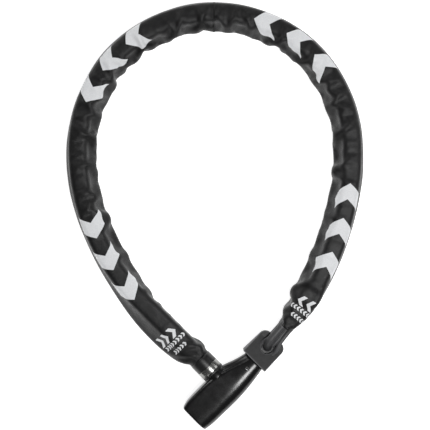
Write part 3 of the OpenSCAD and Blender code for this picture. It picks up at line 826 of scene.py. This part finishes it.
def rod_mesh(points, radius):
    """Closed round rod along a smooth curve through points."""
    steps = 16
    rings = 40
    points = np.array(points)
    knots = np.concatenate([[0], np.cumsum(np.linalg.norm(np.diff(points, axis=0), axis=1))])
    line = natural_spline(knots, points, np.linspace(0, knots[-1], rings))
    way = np.gradient(line, axis=0)
    way /= np.linalg.norm(way, axis=1)[:, None]
    side = np.cross(way, unit([0.3, 0.2, 1.0]))
    side /= np.linalg.norm(side, axis=1)[:, None]
    other = np.cross(side, way)
    angle = np.arange(steps) / steps * 2 * math.pi
    round_it = (np.cos(angle)[None, :, None] * side[:, None, :]
                + np.sin(angle)[None, :, None] * other[:, None, :])
    skin = line[:, None, :] + radius * round_it
    last = (rings - 1) * steps
    faces = tube_faces(rings, steps) + [tuple(range(steps)), tuple(range(last + steps - 1, last - 1, -1))]
    rod = new_mesh("rod", skin.reshape(-1, 3), faces)
    turn_outwards(rod)
    mesh = rod.data
    bpy.data.objects.remove(rod)
    return mesh


def make_cap():
    """Soft-edged cap over the eye, and the end link's ribbed cover."""
    cap = melted("eye_cap_soft", [frame["nodes"]["eye_cap"].data], 0.5 * MM, 14)
    finish_piece(cap, "root", "cap_rubber", cap_rubber, "eye_cap")
    parts = [frame["nodes"]["end_link_cover"].data]
    for line, thick in COVER_RIBS:
        for side in (1, -1):
            places = [(a, l * side, w * side) for a, l, w in line]
            parts.append(rod_mesh([eye_point(*place) for place in places], thick * MM))
    cover = melted("link_cover_soft", parts, 0.5 * MM, 6)
    finish_piece(cover, "root", "cover_rubber", cover_rubber, "end_link_cover")


# These parts show only in the cross pin's dimple and in the eye; their near-black steel is painted shade there.
DARK_NODES = ("cross_pin", "eye_lug", "end_link")


def paint_nodes():
    """CAD nodes that keep their shape get a finish each."""
    looks = {"core_metal": cast_metal, "hard_steel": hard_steel, "spring_steel": hard_steel, "brass": brass,
             "face_plastic": face_plastic, "chain_zinc": zinc}
    for part in frame["record"]["subparts"]:
        name = part["node"]
        # Parts in DARK_NODES get near-black steel as painted shade instead of their own finish.
        paint = shade_dark_steel if name in DARK_NODES else looks.get(part["material_slot"])
        if paint:
            mesh = frame["nodes"][name].data
            mesh.materials.clear()
            mesh.materials.append(paint)


fabric = fabric_paint().material
gloss_black = moulded("gloss_black", (0.0025, 0.0025, 0.0027), (0.0040, 0.0040, 0.0042), (0.22, 0.28), 60,
                      0.004 * MM, Specular_IOR_Level=0.5).material
# The cap and the cover get lighter convex edges: a painted highlight, not wear.
cap_rubber = moulded("cap_rubber", (0.008, 0.0082, 0.0086), (0.012, 0.0122, 0.0128), (0.48, 0.60), 1800,
                     0.10 * MM, painted_edge_highlight=(0.12, 0.12, 0.125)).material
cover_rubber = moulded("cover_rubber", (0.030, 0.0305, 0.032), (0.040, 0.0405, 0.042), (0.42, 0.55), 1200,
                       0.05 * MM, painted_edge_highlight=(0.11, 0.11, 0.115)).material
rubber = moulded("seal_rubber", (0.003, 0.003, 0.003), (0.005, 0.005, 0.005), (0.35, 0.5), 1500,
                 0.03 * MM).material
satin_black = moulded("satin_black", (0.004, 0.004, 0.0042), (0.006, 0.006, 0.0062), (0.32, 0.42), 1400,
                      0.02 * MM).material
face_plastic = moulded("face_plastic", (0.02, 0.02, 0.021), (0.028, 0.028, 0.03), (0.45, 0.6), 1800,
                       0.05 * MM).material
ring_steel = brushed_ring().material
hard_steel = metal("hard_steel", (0.45, 0.46, 0.47), (0.62, 0.63, 0.64), (0.28, 0.42), 700).material
cast_metal = metal("cast_metal", (0.34, 0.35, 0.36), (0.46, 0.47, 0.48), (0.42, 0.58), 500).material
# Near-black steel that stands in for the shade in the pin's dimple and the eye: painted shade.
shade_dark_steel = metal("shade_dark_steel", (0.03, 0.03, 0.03), (0.06, 0.06, 0.06), (0.45, 0.6), 500).material
brass = metal("brass", (0.52, 0.40, 0.18), (0.70, 0.56, 0.28), (0.25, 0.40), 700).material
zinc = metal("zinc", (0.50, 0.51, 0.52), (0.66, 0.67, 0.68), (0.32, 0.48), 350).material

make_sleeve()
make_jacket()
make_face_plate()
make_plug()
make_cap()
paint_nodes()


# ---- floor, light and camera ----

def area_light(name, place, size, watts):
    """Round lamp that shines at the middle of the frame."""
    data = bpy.data.lights.new(name, "AREA")
    data.shape = "DISK"
    data.size = size
    data.energy = watts
    obj = bpy.data.objects.new(name, data)
    obj.location = place
    obj.rotation_mode = "QUATERNION"
    obj.rotation_quaternion = (-Vector(place)).to_track_quat("-Z", "Y")
    bpy.context.scene.collection.objects.link(obj)


# Name, distance, direction in plan, angle from straight above, size and power of each lamp.
LAMPS = (
    ("key", 1.5, -33, 18, 0.42, 12),
    ("left", 1.6, 135, 58, 0.60, 5),
    ("right", 1.6, 20, 62, 0.60, 3),
    ("back", 1.6, 80, 60, 0.60, 3),
    ("front", 1.6, -100, 60, 0.60, 3),
)


GROUND_GLOW = 0.82
SKY = 0.10
VIEW_WIDTH = 0.516   # what the picture takes in at the height of the chain


def make_stage():
    """White ground that stays white in the picture, faint sky and the lamps."""
    side = 4.0
    ground = new_mesh("ground", [(-side, -side, 0), (side, -side, 0), (side, side, 0), (-side, side, 0)],
                      [(0, 1, 2, 3)], smooth=False)
    white = bpy.data.materials.new("white_ground")
    white.use_nodes = True
    shader = white.node_tree.nodes["Principled BSDF"]
    shader.inputs["Base Color"].default_value = (0.8, 0.8, 0.8, 1)
    shader.inputs["Roughness"].default_value = 1.0
    shader.inputs["Specular IOR Level"].default_value = 0.0
    shader.inputs["Emission Color"].default_value = (1, 1, 1, 1)
    shader.inputs["Emission Strength"].default_value = GROUND_GLOW
    ground.data.materials.append(white)
    world = bpy.data.worlds.new("studio")
    bpy.context.scene.world = world
    bpy.context.scene.view_settings.view_transform = "Standard"
    world.use_nodes = True
    sky = world.node_tree.nodes["Background"]
    sky.inputs["Color"].default_value = (1, 1, 1, 1)
    sky.inputs["Strength"].default_value = SKY
    for name, away, turn, tilt, size, watts in LAMPS:
        flat = away * math.sin(math.radians(tilt))
        place = (flat * math.cos(math.radians(turn)), flat * math.sin(math.radians(turn)),
                 away * math.cos(math.radians(tilt)))
        area_light(name, place, size, watts)


def make_camera():
    """Camera straight above, with a long lens."""
    data = bpy.data.cameras.new("camera")
    data.lens = 100
    data.sensor_width = 36
    data.clip_start = 0.01
    obj = bpy.data.objects.new("camera", data)
    obj.location = (0, 0, chain_z + VIEW_WIDTH * data.lens / data.sensor_width)
    bpy.context.scene.collection.objects.link(obj)
    bpy.context.scene.camera = obj


make_stage()
make_camera()
